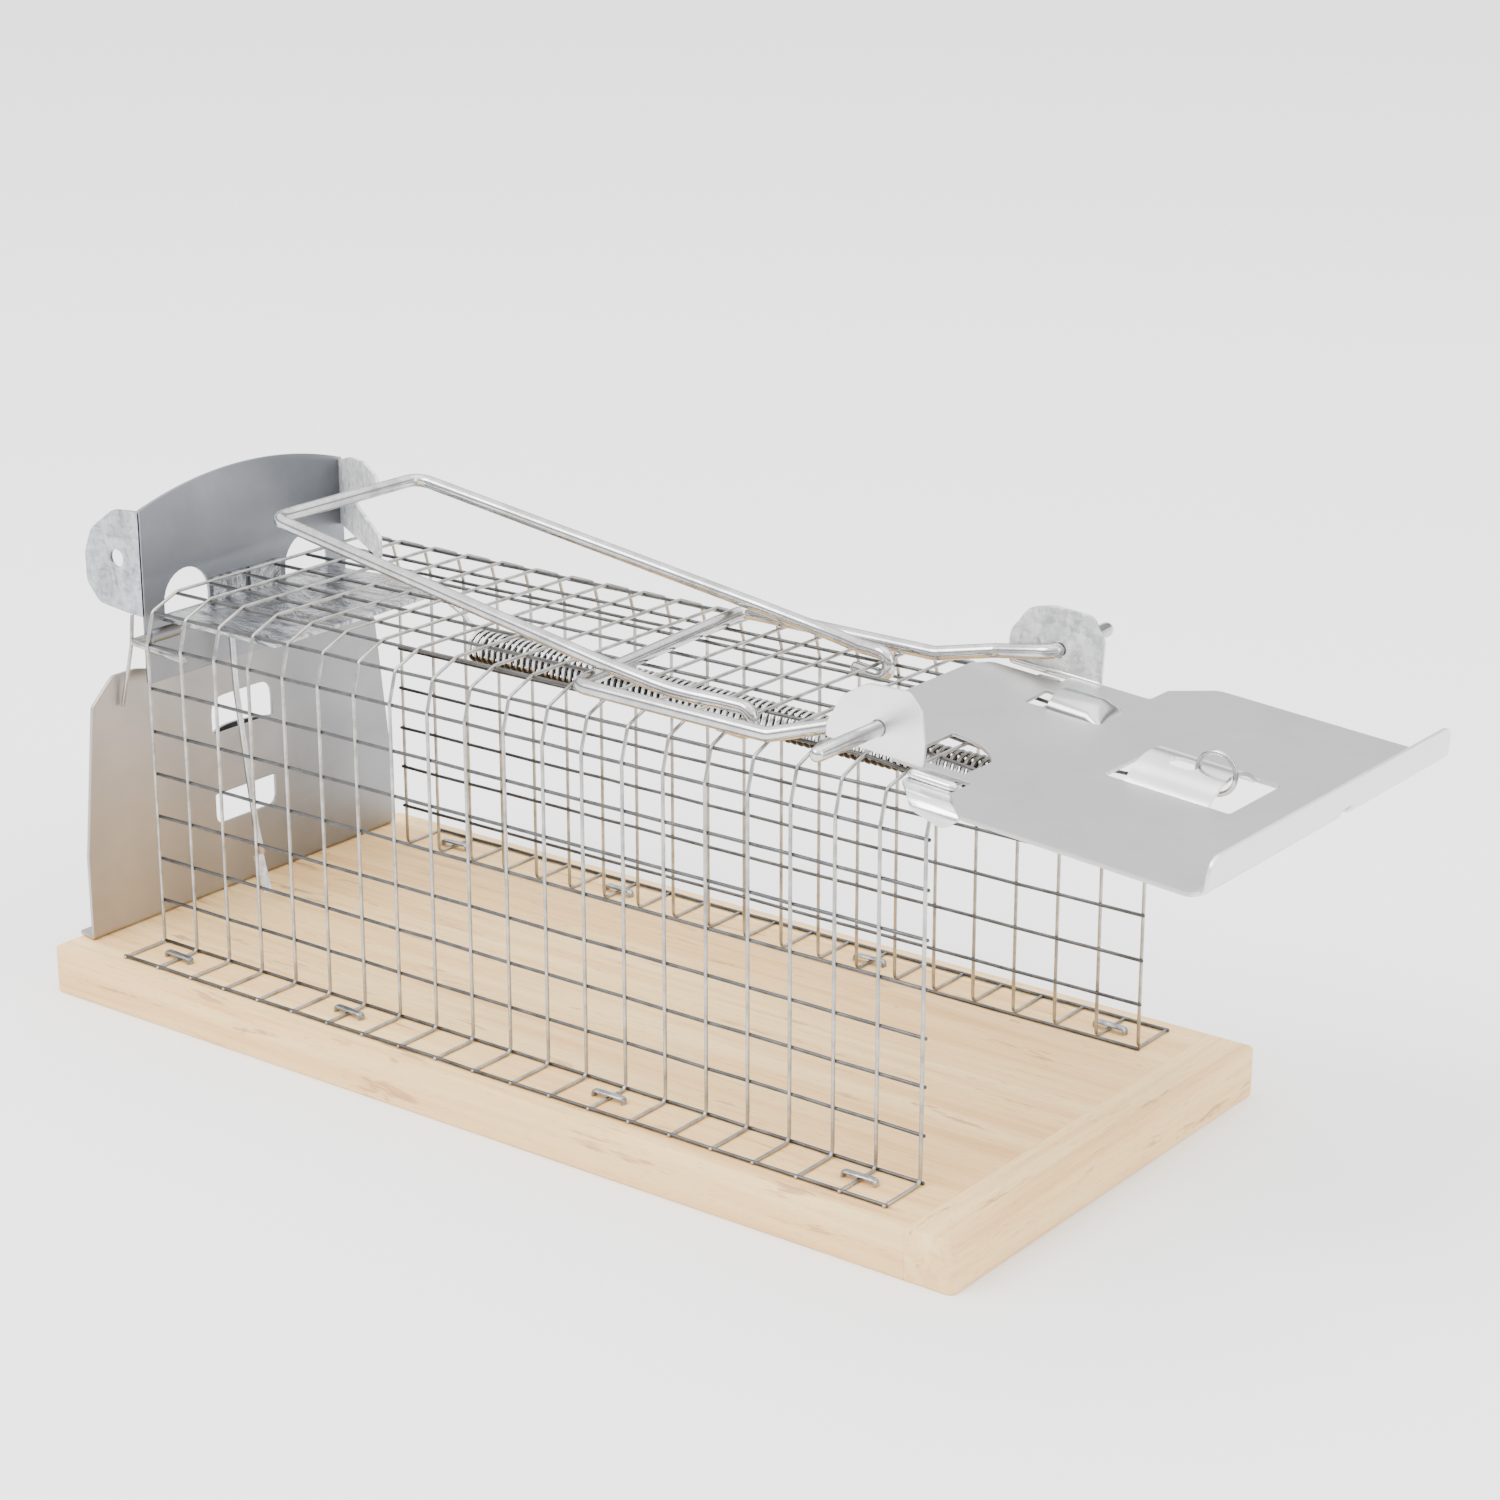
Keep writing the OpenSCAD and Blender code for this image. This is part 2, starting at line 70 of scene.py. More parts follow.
# ---------------------------------------------------------------- mesh helpers
def make_object(name, bm, material, angle=40.0, keep_flat=False):
    """Turns a bmesh in millimetres into an object in metres."""
    bmesh.ops.scale(bm, vec=(MM, MM, MM), verts=bm.verts)
    bmesh.ops.recalc_face_normals(bm, faces=bm.faces)
    mesh = bpy.data.meshes.new(name)
    bm.to_mesh(mesh)
    bm.free()
    obj = bpy.data.objects.new(name, mesh)
    bpy.context.scene.collection.objects.link(obj)
    mesh.materials.append(material)
    rounded = [p.use_smooth or not keep_flat for p in mesh.polygons]
    mesh.set_sharp_from_angle(angle=math.radians(angle))
    mesh.polygons.foreach_set("use_smooth", rounded)
    return obj


def fillet(points, radius, steps=6):
    """Rounds the corners of a polyline."""
    pts = [Vector(p) for p in points]
    out = [pts[0]]
    for a, b, c in zip(pts, pts[1:], pts[2:]):
        d1, d2 = a - b, c - b
        l1, l2 = d1.length, d2.length
        d1.normalize()
        d2.normalize()
        angle = d1.angle(d2)
        if angle > 3.05:
            out.append(b)
            continue
        t = min(radius / math.tan(angle / 2), 0.46 * l1, 0.46 * l2)
        p, q = b + d1 * t, b + d2 * t
        for k in range(steps + 1):
            s = k / steps
            out.append(p * (1 - s) ** 2 + b * 2 * s * (1 - s) + q * s * s)
    out.append(pts[-1])
    return out


def add_tube(bm, points, radius, sides=12, flat=None, cap=0.8):
    """Sweeps a round or flat section along a path, with rounded ends."""
    pts = [Vector(p) for p in points]
    tangents = []
    for i, p in enumerate(pts):
        a = pts[max(i - 1, 0)]
        b = pts[min(i + 1, len(pts) - 1)]
        tangents.append((b - a).normalized())
    first = tangents[0]
    up = Vector((0, 0, 1)) if abs(first.z) < 0.9 else Vector((0, 1, 0))
    normal = (up - first * up.dot(first)).normalized()
    rings = []
    for i, (p, t) in enumerate(zip(pts, tangents)):
        if i:
            axis = tangents[i - 1].cross(t)
            if axis.length > 1e-9:
                turn = tangents[i - 1].angle(t)
                normal = Matrix.Rotation(turn, 3, axis.normalized()) @ normal
        side = t.cross(normal)
        rings.append((p, t, normal.copy(), side, 1.0))
    wide, thick = flat or (radius, radius)
    ends = []
    for end, sign in ((rings[0], -1), (rings[-1], 1)):
        extra = []
        for k in (35, 65, 83):
            a = math.radians(k)
            p, t, n, s, _ = end
            extra.append((p + t * sign * cap * thick * math.sin(a), t, n, s, math.cos(a)))
        ends.append(extra)
    rings = list(reversed(ends[0])) + rings + ends[1]
    loops = []
    for p, t, n, s, scale in rings:
        loop = []
        for k in range(sides):
            a = 2 * math.pi * k / sides
            offset = n * (thick * math.sin(a)) + s * (wide * math.cos(a))
            loop.append(bm.verts.new(p + offset * scale))
        loops.append(loop)
    for a, b in zip(loops, loops[1:]):
        for k in range(sides):
            bm.faces.new((a[k], a[(k + 1) % sides], b[(k + 1) % sides], b[k]))
    bm.faces.new(list(reversed(loops[0])))
    bm.faces.new(loops[-1])


def wire_piece(name, points, radius, material, body, node, bend, sides=14):
    """A bent wire that rides on a body and stands for a CAD node."""
    bm = bmesh.new()
    add_tube(bm, fillet(points, bend), radius, sides)
    obj = make_object(name, bm, material, angle=60)
    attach(obj, body)
    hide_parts(node)


def round_loop(points, radius, steps=5):
    """Rounds the corners of a closed 2-D outline. A point may carry its own radius."""
    out = []
    n = len(points)
    for i in range(n):
        b = Vector(points[i][:2])
        a = Vector(points[i - 1][:2])
        c = Vector(points[(i + 1) % n][:2])
        r = points[i][2] if len(points[i]) > 2 else radius
        d1, d2 = a - b, c - b
        l1, l2 = d1.length, d2.length
        d1.normalize()
        d2.normalize()
        angle = d1.angle(d2)
        if r <= 0 or angle > 3.05:
            out.append(b)
            continue
        t = min(r / math.tan(angle / 2), 0.45 * l1, 0.45 * l2)
        p, q = b + d1 * t, b + d2 * t
        for k in range(steps + 1):
            s = k / steps
            out.append(p * (1 - s) ** 2 + b * 2 * s * (1 - s) + q * s * s)
    return out


def circle_loop(x, y, r, steps=32):
    """A round hole's outline."""
    turns = [2 * math.pi * k / steps for k in range(steps)]
    return [Vector((x + r * math.cos(a), y + r * math.sin(a))) for a in turns]


def sheet_mesh(loops, thickness=SHEET, bevel=0.16):
    """A flat sheet with holes and softened edges, as a bmesh: outline in X and Y, thickness in Z."""
    curve = bpy.data.curves.new("outline", "CURVE")
    curve.dimensions = "2D"
    curve.fill_mode = "BOTH"
    curve.extrude = thickness / 2 - bevel
    curve.bevel_depth = bevel
    curve.bevel_resolution = 1
    curve.offset = -bevel
    for loop in loops:
        spline = curve.splines.new("POLY")
        spline.points.add(len(loop) - 1)
        for point, co in zip(spline.points, loop):
            point.co = (co[0], co[1], 0, 1)
        spline.use_cyclic_u = True
    obj = bpy.data.objects.new("outline", curve)
    bpy.context.scene.collection.objects.link(obj)
    graph = bpy.context.evaluated_depsgraph_get()
    mesh = bpy.data.meshes.new_from_object(obj.evaluated_get(graph))
    bm = bmesh.new()
    bm.from_mesh(mesh)
    bmesh.ops.remove_doubles(bm, verts=bm.verts, dist=0.001)
    bm.normal_update()
    for face in bm.faces:
        face.smooth = abs(face.normal.z) < 0.999
    bpy.data.objects.remove(obj)
    bpy.data.curves.remove(curve)
    bpy.data.meshes.remove(mesh)
    return bm


def fold(bm, axis, at, angle, radius, side=1, steps=7):
    """Bends the sheet beyond a straight line, towards +Z for a positive angle."""
    turn = abs(angle)
    up = 1 if angle > 0 else -1
    length = radius * turn
    normal = Vector((0, 0, 0))
    normal[axis] = 1
    for k in range(steps + 1):
        place = Vector((0, 0, 0))
        place[axis] = at + side * length * k / steps
        bmesh.ops.bisect_plane(bm, geom=bm.verts[:] + bm.edges[:] + bm.faces[:], dist=1e-5,
                               plane_co=place, plane_no=normal)
    for face in bm.faces:
        if 0 < (face.calc_center_median()[axis] - at) * side < length:
            face.smooth = True
    for v in bm.verts:
        s = (v.co[axis] - at) * side
        if s <= 0:
            continue
        phi = min(s / radius, turn)
        rest = max(0.0, s - length)
        along = radius * math.sin(phi) + rest * math.cos(phi)
        height = radius * (1 - math.cos(phi)) + rest * math.sin(phi)
        c = v.co.z
        v.co[axis] = at + side * (along - up * c * math.sin(phi))
        v.co.z = up * height + c * math.cos(phi)


def place(bm, columns, origin):
    """Moves a sheet so that its X, Y and Z lie along the three given directions."""
    m = Matrix((columns[0], columns[1], columns[2])).transposed().to_4x4()
    bmesh.ops.transform(bm, matrix=Matrix.Translation(origin) @ m, verts=bm.verts)


def door_point(u, y, w):
    """A point given along the door's sheet, across it and above its hinge line."""
    c, s = math.cos(DOOR_SLOPE), math.sin(DOOR_SLOPE)
    return Vector((MESH_END + u * c + w * s, y, HINGE_Z - u * s + w * c))


DOOR_AXES = (Vector((math.cos(DOOR_SLOPE), 0, -math.sin(DOOR_SLOPE))), Vector((0, 1, 0)),
             Vector((math.sin(DOOR_SLOPE), 0, math.cos(DOOR_SLOPE))))


# ---------------------------------------------------------------- materials
class Shader:
    """A principled material with a few shorthand ways to add procedural detail."""

    def __init__(self, name, base, rough, metallic=0.0):
        self.material = bpy.data.materials.new(name)
        self.material.use_nodes = True
        self.tree = self.material.node_tree
        self.bsdf = self.tree.nodes["Principled BSDF"]
        self.bsdf.inputs["Base Color"].default_value = (*base, 1)
        self.bsdf.inputs["Roughness"].default_value = rough
        self.bsdf.inputs["Metallic"].default_value = metallic
        self.coords = self.tree.nodes.new("ShaderNodeTexCoord").outputs["Object"]

    def node(self, kind, **values):
        made = self.tree.nodes.new(kind)
        for key, value in values.items():
            setattr(made, key, value)
        return made

    def link(self, a, b):
        self.tree.links.new(a, b)

    def mapped(self, scale):
        mapping = self.node("ShaderNodeMapping")
        mapping.inputs["Scale"].default_value = scale
        self.link(self.coords, mapping.inputs["Vector"])
        return mapping.outputs["Vector"]

    def noise(self, scale=(1, 1, 1), size=100.0, detail=4.0, rough=0.55, distortion=0.0):
        made = self.node("ShaderNodeTexNoise")
        self.link(self.mapped(scale), made.inputs["Vector"])
        made.inputs["Scale"].default_value = size
        made.inputs["Detail"].default_value = detail
        made.inputs["Roughness"].default_value = rough
        made.inputs["Distortion"].default_value = distortion
        return made.outputs["Fac"]

    def cells(self, scale=(1, 1, 1), size=100.0):
        made = self.node("ShaderNodeTexVoronoi")
        self.link(self.mapped(scale), made.inputs["Vector"])
        made.inputs["Scale"].default_value = size
        parts = self.node("ShaderNodeSeparateColor")
        self.link(made.outputs["Color"], parts.inputs["Color"])
        return parts.outputs["Red"]

    def ramp(self, source, stops):
        made = self.node("ShaderNodeValToRGB")
        self.link(source, made.inputs["Fac"])
        elements = made.color_ramp.elements
        while len(elements) < len(stops):
            elements.new(0.5)
        for element, (at, colour) in zip(elements, stops):
            element.position = at
            element.color = (*colour, 1)
        return made.outputs["Color"]

    def span(self, source, low, high, from_low=0.0, from_high=1.0):
        made = self.node("ShaderNodeMapRange")
        self.link(source, made.inputs["Value"])
        made.inputs["From Min"].default_value = from_low
        made.inputs["From Max"].default_value = from_high
        made.inputs["To Min"].default_value = low
        made.inputs["To Max"].default_value = high
        return made.outputs["Result"]

    def mix(self, a, b, factor, blend="MIX"):
        made = self.node("ShaderNodeMix", data_type="RGBA", blend_type=blend)
        colours = [s for s in made.inputs if s.type == "RGBA"]
        for socket, value in zip(colours, (a, b)):
            if isinstance(value, tuple):
                socket.default_value = (*value, 1)
            else:
                self.link(value, socket)
        if isinstance(factor, float):
            made.inputs[0].default_value = factor
        else:
            self.link(factor, made.inputs[0])
        return [s for s in made.outputs if s.type == "RGBA"][0]

    def colour(self, source):
        self.link(source, self.bsdf.inputs["Base Color"])

    def rough(self, source):
        self.link(source, self.bsdf.inputs["Roughness"])

    def bump(self, source, depth, strength=1.0):
        made = self.node("ShaderNodeBump")
        made.inputs["Distance"].default_value = depth
        made.inputs["Strength"].default_value = strength
        self.link(source, made.inputs["Height"])
        self.link(made.outputs["Normal"], self.bsdf.inputs["Normal"])


def plain_zinc(name, tone, spread, rough, size=45):
    """Rolled zinc sheet: soft cloudy patches and a fine matt grain."""
    s = Shader(name, tone, rough, 1.0)
    dark = tuple(c * (1 - spread) for c in tone)
    light = tuple(min(1.0, c * (1 + spread)) for c in tone)
    cloud = s.noise((1, 1, 1), size, 4, 0.55, 0.3)
    s.colour(s.ramp(cloud, [(0.3, dark), (0.7, light)]))
    s.rough(s.span(cloud, rough * 1.12, rough * 0.88))
    s.bump(s.noise((1, 1, 1), 1400, 3, 0.6), 0.00003, 0.6)
    return s.material


def mottled_zinc(name, light, dark, rough, metallic=0.8):
    """Hot-dipped zinc: small bright crystals, smears and pits."""
    s = Shader(name, light, rough, metallic)
    crystals = s.cells((1, 1, 1.6), 520)
    smear = s.noise((1, 1, 0.5), 210, 6, 0.7, 1.2)
    tone = s.mix(s.ramp(crystals, [(0.1, dark), (0.9, light)]),
                 s.ramp(smear, [(0.38, dark), (0.6, light)]), 0.6)
    s.colour(tone)
    s.rough(s.span(smear, rough * 1.4, rough * 0.8, 0.3, 0.7))
    s.bump(smear, 0.00018, 0.6)
    return s.material


def door_zinc(name, sheet, lip_highlight, rough):
    """The door's matt sheet, with a painted highlight that makes its front lip brighter."""
    s = Shader(name, sheet, rough, 1.0)
    along = s.node("ShaderNodeSeparateXYZ")
    s.link(s.coords, along.inputs["Vector"])
    # painted highlight: towards the front lip the colour turns to the brighter lip colour
    front = s.span(along.outputs["X"], 0.0, 1.0, 0.1995, 0.2015)
    cloud = s.noise((1, 1, 1), 45, 4, 0.55, 0.3)
    matt = s.ramp(cloud, [(0.3, tuple(c * 0.93 for c in sheet)), (0.7, tuple(c * 1.07 for c in sheet))])
    s.colour(s.mix(matt, lip_highlight, front))
    s.rough(s.span(cloud, rough * 1.1, rough * 0.9))
    s.bump(s.noise((1, 1, 1), 1400, 3, 0.6), 0.00003, 0.6)
    return s.material


def streaked_zinc(name, light, dark, rough):
    """Crumpled bright sheet: its colour runs in long, sharp light and dark streaks."""
    s = Shader(name, light, rough, 1.0)
    streak = s.noise((0.5, 1.6, 1), 70, 6, 0.7, 2.5)
    s.colour(s.ramp(streak, [(0.36, dark), (0.5, light), (0.6, dark), (0.72, light)]))
    s.rough(s.span(streak, rough * 1.4, rough * 0.7, 0.3, 0.7))
    s.bump(streak, 0.0009, 0.8)
    return s.material


def coil_steel_painted_shade(name, light, dark):
    """Spring steel, bright on the coils' outer side, with painted shade on their inner side."""
    s = Shader(name, light, 0.24, 1.0)
    height = s.node("ShaderNodeVectorMath", operation="DOT_PRODUCT")
    s.link(s.coords, height.inputs[0])
    height.inputs[1].default_value = (SPRING_FALL, 0.0, 1.0)
    level = s.span(height.outputs["Value"], 0.0, 1.0, SPRING_LEVEL * MM, SPRING_LEVEL * MM + 1.0)
    side = s.node("ShaderNodeSeparateXYZ")
    s.link(s.coords, side.inputs["Vector"])
    across = s.node("ShaderNodeCombineXYZ")
    s.link(side.outputs["Y"], across.inputs["Y"])
    s.link(level, across.inputs["Z"])
    reach = s.node("ShaderNodeVectorMath", operation="LENGTH")
    s.link(across.outputs["Vector"], reach.inputs[0])
    # painted shade: the coils' inner side, nearer the spring's axis, takes the dark colour
    outer = s.span(reach.outputs["Value"], 0.0, 1.0, 0.0040, 0.0046)
    s.colour(s.mix(dark, light, outer))
    return s.material


def wall_zinc(name, cool, warm, rough):
    """The rear wall's sheet: grey, turning warmer and lighter towards its near side."""
    s = Shader(name, cool, rough, 1.0)
    place_of = s.node("ShaderNodeSeparateXYZ")
    s.link(s.coords, place_of.inputs["Vector"])
    # the colour turns warmer and lighter towards the near side
    near = s.span(place_of.outputs["Y"], 0.6, 0.0, -0.045, 0.02)
    cloud = s.noise((1, 1, 1), 40, 4, 0.6, 0.5)
    near_warm_tone = s.ramp(cloud, [(0.25, tuple(c * 0.86 for c in warm)), (0.75, warm)])
    steel = s.ramp(cloud, [(0.3, tuple(c * 0.85 for c in cool)), (0.7, cool)])
    s.colour(s.mix(steel, near_warm_tone, near))
    s.rough(s.span(cloud, rough * 1.15, rough * 0.85))
    s.bump(s.noise((1, 1, 1), 1100, 3, 0.6), 0.00003, 0.6)
    return s.material


def wire_metal(name, light, dark, rough_low, rough_high, size=160.0):
    """Drawn or galvanised wire: faint blotches and drawing marks."""
    s = Shader(name, light, 0.2, 1.0)
    blotch = s.noise((1, 1, 1), size, 5, 0.65)
    s.colour(s.ramp(blotch, [(0.32, dark), (0.62, light)]))
    s.rough(s.span(blotch, rough_high, rough_low, 0.3, 0.7))
    s.bump(s.noise((1, 1, 1), size * 6, 2, 0.5), 0.00003, 0.6)
    return s.material


def board_wood(name, along, across):
    """Pale hardwood: long grain, growth bands, brown flecks and pores, stretched along one axis."""
    s = Shader(name, (0.7, 0.57, 0.4), 0.6)

    def stretched(run, cross):
        return tuple(run if a else cross for a in along)

    grain = s.noise(stretched(0.35, across), 26, 6, 0.6, 0.6)
    base = s.ramp(grain, [(0.25, (0.74, 0.42, 0.165)), (0.5, (0.9, 0.6, 0.27)),
                          (0.75, (0.96, 0.71, 0.36))])
    bands = s.ramp(s.noise(stretched(0.12, across * 0.36), 14, 3, 0.5, 1.2),
                   [(0.42, (1, 1, 1)), (0.6, (0.9, 0.84, 0.76))])
    tone = s.mix(base, bands, 0.8, "MULTIPLY")
    flecks = s.ramp(s.noise(stretched(0.5, 3.4), 60, 4, 0.72, 0.5),
                    [(0.6, (0, 0, 0)), (0.67, (0.75, 0.75, 0.75))])
    tone = s.mix(tone, (0.44, 0.24, 0.11), flecks)
    pores = s.ramp(s.noise(stretched(0.8, 9), 300, 2, 0.5), [(0.6, (0, 0, 0)), (0.7, (0.4, 0.4, 0.4))])
    tone = s.mix(tone, (0.4, 0.26, 0.15), pores)
    s.colour(tone)
    s.rough(s.span(grain, 0.7, 0.5))
    s.bump(grain, 0.00015, 0.5)
    return s.material


WOOD = board_wood("wood", (True, False, False), 9)
END_WOOD = board_wood("wood_end", (False, True, False), 9)
# the second colour is the painted highlight on the door's front lip
DOOR_SHEET = door_zinc("door_sheet", (0.47, 0.47, 0.468), (0.74, 0.74, 0.74), 0.4)
TRIGGER_ZINC = plain_zinc("trigger_zinc", (0.235, 0.245, 0.265), 0.1, 0.42)
EAR_ZINC = mottled_zinc("ear_zinc", (0.82, 0.83, 0.83), (0.38, 0.39, 0.4), 0.3)
REAR_EAR_ZINC = mottled_zinc("rear_ear_zinc", (0.46, 0.475, 0.5), (0.2, 0.21, 0.23), 0.3)
LATCH_ZINC = mottled_zinc("latch_zinc", (0.93, 0.93, 0.93), (0.42, 0.43, 0.44), 0.5, 0.45)
PRESS_ZINC = plain_zinc("press_zinc", (0.42, 0.42, 0.42), 0.2, 0.2)
LEAF_ZINC = streaked_zinc("leaf_zinc", (0.62, 0.63, 0.65), (0.12, 0.12, 0.13), 0.2)
NEAR_EAR_ZINC = plain_zinc("near_ear_zinc", (0.78, 0.78, 0.78), 0.06, 0.34)
BRIGHT_ZINC = plain_zinc("bright_zinc", (0.7, 0.7, 0.71), 0.12, 0.22)
PLATE_ZINC = wall_zinc("plate_zinc", (0.27, 0.274, 0.284), (0.56, 0.52, 0.485), 0.46)
HOOP_WIRE = wire_metal("mesh_wire", (0.46, 0.455, 0.44), (0.24, 0.235, 0.22), 0.26, 0.42)
LONG_WIRE = wire_metal("long_wire", (0.115, 0.117, 0.12), (0.06, 0.06, 0.062), 0.26, 0.42)
BAIL_WIRE = wire_metal("bail_wire", (0.56, 0.56, 0.56), (0.33, 0.33, 0.33), 0.13, 0.26, 90)
# the second colour is painted shade for the coils' inner side
SPRING_WIRE = coil_steel_painted_shade("spring_wire", (0.62, 0.62, 0.62), (0.025, 0.025, 0.025))
RING_WIRE = wire_metal("ring_wire", (0.5, 0.5, 0.5), (0.26, 0.26, 0.26), 0.16, 0.3, 220)
STAPLE_STEEL = wire_metal("staple", (0.42, 0.44, 0.47), (0.13, 0.14, 0.16), 0.2, 0.34, 260)


# ---------------------------------------------------------------- board
def build_board():
    """The board and the cross-grained strip glued to its front end."""
    length, width, thick = BOARD
    strip, groove = 13.5, 0.1
    seam = length / 2 - strip
    bm = sheet_mesh([round_loop([(-length / 2, -width / 2), (length / 2, -width / 2), (length / 2, width / 2),
                                 (-length / 2, width / 2)], 2.0)], thick, 0.7)
    bmesh.ops.translate(bm, vec=(0, 0, thick / 2), verts=bm.verts)
    for at in (seam - 0.12, seam, seam + 0.12):
        bmesh.ops.bisect_plane(bm, geom=bm.verts[:] + bm.edges[:] + bm.faces[:], dist=1e-5,
                               plane_co=(at, 0, 0), plane_no=(1, 0, 0))
    for v in bm.verts:
        if abs(v.co.x - seam) < 0.01:
            v.co.z += -groove if v.co.z > thick / 2 else groove
            v.co.y *= 1 - groove / (width / 2)
    for face in bm.faces:
        face.material_index = int(face.calc_center_median().x > seam)
    obj = make_object("board", bm, WOOD, angle=35, keep_flat=True)
    obj.data.materials.append(END_WOOD)
    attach(obj, "cage")
    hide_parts("base_board")


# ---------------------------------------------------------------- mesh tunnel
def roof_height(x):
    """Height of the roof's wires at a place along the tunnel."""
    if x <= DIP_X:
        return ROOF_Z
    return ROOF_Z - (x - DIP_X) / (MESH_END - DIP_X) * (ROOF_Z - HINGE_Z)


def hoop_path(x):
    """One hoop of the tunnel, from flange to flange, with its ends slightly out of line."""
    top = roof_height(x)
    half = [(FLANGE_Y + 0.4, MESH_BASE), (SIDE_Y, MESH_BASE), (SIDE_Y, 100.25), SHOULDER, (ROOF_EDGE, top)]
    wob = [rng.uniform(-0.12, 0.12) for _ in range(2)]
    near = [(x + wob[0], -y, z) for y, z in half]
    far = [(x + wob[1], y, z) for y, z in reversed(half)]
    return fillet(near + far, 2.2, 5)


def build_mesh():
    """The welded mesh: hoops outside, long wires inside."""
    bm = bmesh.new()
    for i in range(CELLS + 1):
        add_tube(bm, hoop_path(-MESH_END + i * PITCH), MESH_R, 10)
    hoops = make_object("mesh_hoops", bm, HOOP_WIRE, angle=60)
    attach(hoops, "cage")
    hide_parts("mesh_near_side", "mesh_far_side", "mesh_roof", "mesh_roof_front", "mesh_near_shoulder",
                "mesh_far_shoulder", "mesh_near_flange", "mesh_far_flange")
    bm = bmesh.new()
    inset = 0.62
    rows = [(sy * (SIDE_Y - inset), MESH_BASE + j * SIDE_PITCH) for sy in (-1, 1) for j in range(SIDE_ROWS + 1)]
    rows += [(sy * (SHOULDER[0] - 0.5), SHOULDER[1] - 0.4) for sy in (-1, 1)]
    rows += [(sy * FLANGE_Y, MESH_BASE + 0.15) for sy in (-1, 1)]
    ends = MESH_END + 0.5
    xs = [-ends] + [-MESH_END + i * PITCH for i in range(1, CELLS)] + [ends]
    for y, z in rows:
        add_tube(bm, [(x, y + rng.uniform(-0.06, 0.06), z + rng.uniform(-0.09, 0.09)) for x in xs], MESH_R, 10)
    for j in range(7):
        y = -ROOF_EDGE + j * 2 * ROOF_EDGE / 6
        path = [(x, y + rng.uniform(-0.1, 0.1), roof_height(x) - inset) for x in xs]
        add_tube(bm, path, MESH_R, 10)
    longs = make_object("mesh_long_wires", bm, LONG_WIRE, angle=60)
    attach(longs, "cage")


def build_staples():
    """Eight flat-crowned staples across the flanges' wires, each slightly out of line."""
    bm = bmesh.new()
    half, top, tip, staple_y = 4.65, 15.0, 6.0, 56.3
    staple_hoops = (1, 6, 13, 19)
    for i in staple_hoops:
        for sy in (-1, 1):
            x = -MESH_END + i * PITCH + rng.uniform(-0.4, 0.4)
            y = sy * staple_y
            lean = rng.uniform(-0.35, 0.35)
            path = [(x - half, y - lean, tip), (x - half, y - lean, top), (x + half, y + lean, top),
                    (x + half, y + lean, tip)]
            add_tube(bm, fillet(path, 0.8, 4), 0.5, 14, flat=(0.5, 1.1))
    obj = make_object("staples", bm, STAPLE_STEEL, angle=50)
    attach(obj, "cage")
    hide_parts("flange_staples")


# ---------------------------------------------------------------- back plate and trigger
def build_back_plate():
    """The back plate with its foot and two windows, and the half pipe pressed between them."""
    half = 60.8
    left = [(-half, 14.2, 0), (-half, 38, 20), (-56, 80.5, 3), (-48, 87.7, 3), (-39.6, 87.7, 8), (-24, 84, 20)]
    right = [(-y, z, r) for y, z, r in reversed(left)]
    foot = [(59.3, 14.2 - 6.9, 1.0), (-59.3, 14.2 - 6.9, 1.0)]
    outline = round_loop(left + right + foot, 2.0)
    low = round_loop([(-12, 34, 3), (12, 34, 3), (12, 43, 0.6), (-12, 43, 0.6)], 0.6)
    high = round_loop([(-12, 61, 0.6), (12, 61, 0.6), (12, 72, 5), (-12, 72, 5)], 0.6)
    bm = sheet_mesh([outline, low, high])
    fold(bm, 1, 14.8, math.radians(90), 0.8, side=-1)
    place(bm, (Vector((0, -1, 0)), Vector((0, 0, 1)), Vector((-1, 0, 0))), Vector((BACK_X, 0, 0)))
    obj = make_object("rear_wall", bm, PLATE_ZINC, angle=35, keep_flat=True)
    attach(obj, "cage")
    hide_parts("back_plate")
    strap_low, strap_run, strap_half, strap_depth, steps = 43.0, 18.0, 12.0, 4.5, 16
    bm = bmesh.new()
    rows = []
    for k in range(steps + 1):
        t = -1 + 2 * k / steps
        rows.append((strap_half * t, strap_depth * (1 - t * t)))
    grid = []
    for z in (strap_low, strap_low + strap_run):
        for shift in (-0.5, 0.5):
            grid.append([bm.verts.new((BACK_X - depth + shift, y, z)) for y, depth in rows])
    low_back, low_front, top_back, top_front = grid
    for k in range(steps):
        bm.faces.new((low_back[k], low_back[k + 1], top_back[k + 1], top_back[k]))
        bm.faces.new((low_front[k], low_front[k + 1], top_front[k + 1], top_front[k]))
        bm.faces.new((low_back[k], low_back[k + 1], low_front[k + 1], low_front[k]))
        bm.faces.new((top_back[k], top_back[k + 1], top_front[k + 1], top_front[k]))
    strap = make_object("rear_wall_strap", bm, BRIGHT_ZINC, angle=35)
    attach(strap, "cage")


build_board()
build_mesh()
build_staples()

